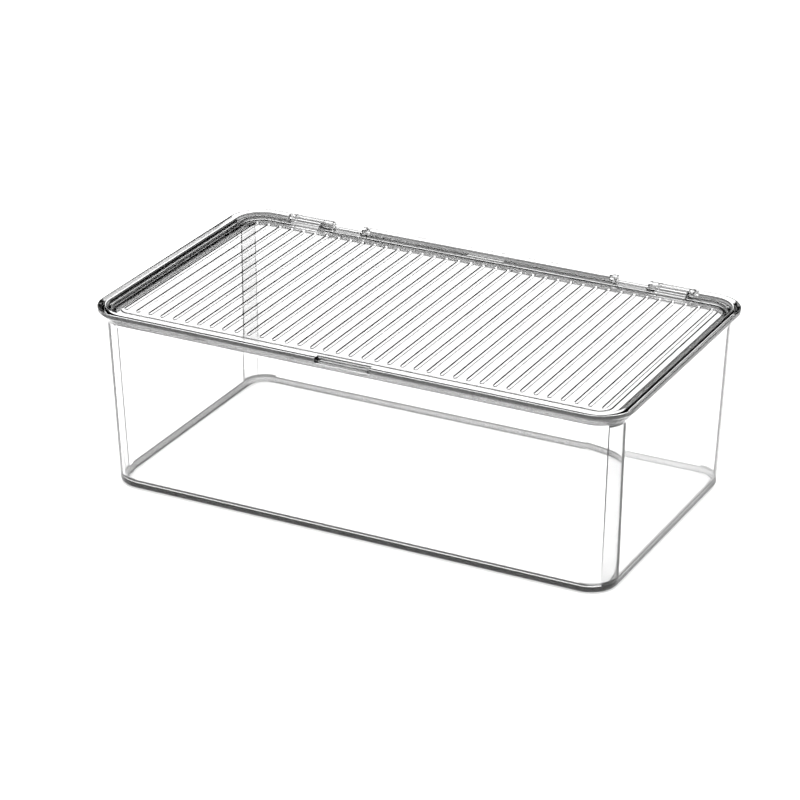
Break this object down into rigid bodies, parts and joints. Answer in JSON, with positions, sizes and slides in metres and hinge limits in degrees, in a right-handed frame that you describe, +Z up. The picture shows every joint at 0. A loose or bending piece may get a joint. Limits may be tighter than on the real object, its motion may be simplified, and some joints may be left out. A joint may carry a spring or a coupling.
{
  "type": "fridge bin",
  "caption": "Clear rectangular fridge storage bin with tapered walls, a flared rim, and a ribbed lid that seats inside the rim and swings up on rear hinges.",
  "frame": {"origin": "middle of the overall box at the height of the base it stands on", "axes": "+X to the right along the long side, +Y to the rear where the hinges are, +Z up out of the opening"},
  "size_m": [0.275, 0.157, 0.0929],
  "materials": {
    "tub": "polished clear PET, moulded",
    "lid": "polished clear PET, moulded, with fine ribs",
    "pins": "clear drawn rod"
  },
  "bodies": {
    "bin": {"bin_tub": "tub", "hinge_pin_left": "pins", "hinge_pin_right": "pins"},
    "cover": {"lid": "lid"}
  },
  "joints": [
    {"name": "lid_hinge", "type": "hinge", "parent": "bin", "child": "cover", "pos_m": [0, 0.0754, 0.0909], "axis": [-1, 0, 0], "range_deg": [0, 110]}
  ]
}
